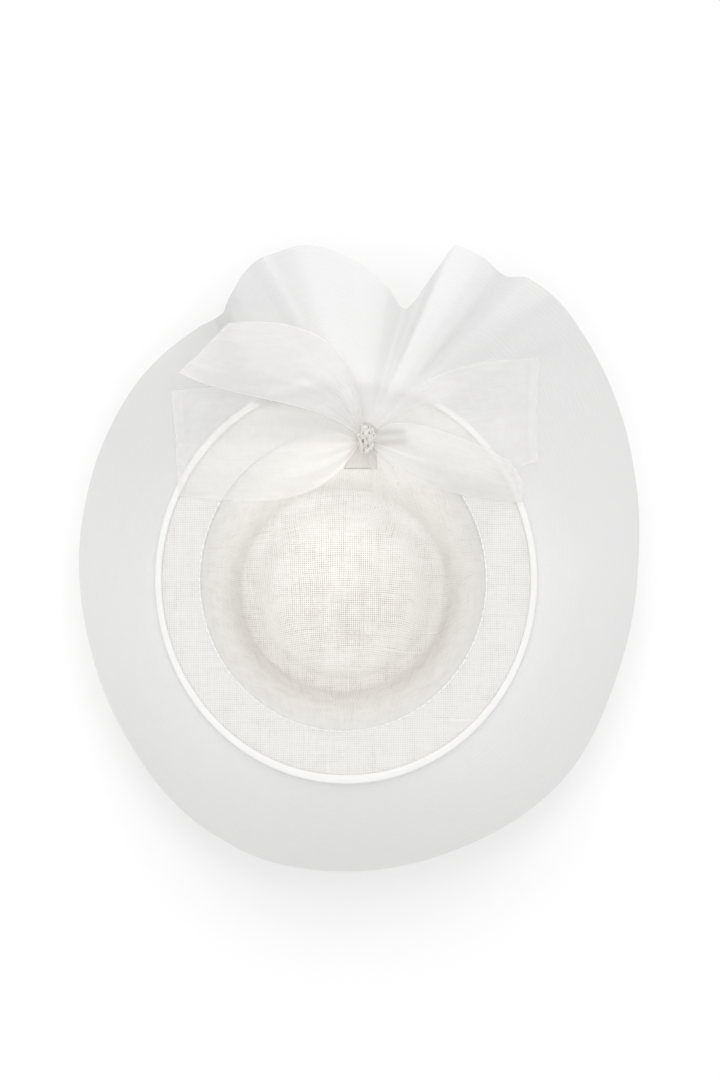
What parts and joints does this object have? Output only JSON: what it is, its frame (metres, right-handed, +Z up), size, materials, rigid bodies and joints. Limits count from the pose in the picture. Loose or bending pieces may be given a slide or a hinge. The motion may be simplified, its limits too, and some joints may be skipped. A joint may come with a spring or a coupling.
{
  "type": "fascinator",
  "caption": "Hat-style fascinator with a dented oval straw crown, a bound flat brim, a wide sheer crin brim gathered into flutes at the front, and a tied organza bow.",
  "frame": {"origin": "under the middle of the whole hat, on the surface that the crown stands on", "axes": "+Z up, out of the head opening, as the hat lies on its crown; +Y to the front, where the bow and the flutes are; +X to the right with the front away"},
  "size_m": [0.3564, 0.3934, 0.1343],
  "materials": {
    "straw_cloth": "stiffened open plain weave, matt",
    "binding_ribbon": "smooth, slightly glossy",
    "crin": "two layers of fine sheer mesh, soft sheen",
    "organza": "sheer, crisp, soft sheen",
    "tacked_cloth": "gathered organza in many layers, matt"
  },
  "bodies": {
    "root": {"crown": "straw_cloth", "straw_brim": "straw_cloth", "binding": "binding_ribbon", "crin_brim": "crin", "left_tail": "organza", "right_tail": "organza", "left_loop": "organza", "right_loop": "organza", "narrow_tail": "organza", "tab": "tacked_cloth", "knot": "tacked_cloth"}
  },
  "joints": []
}
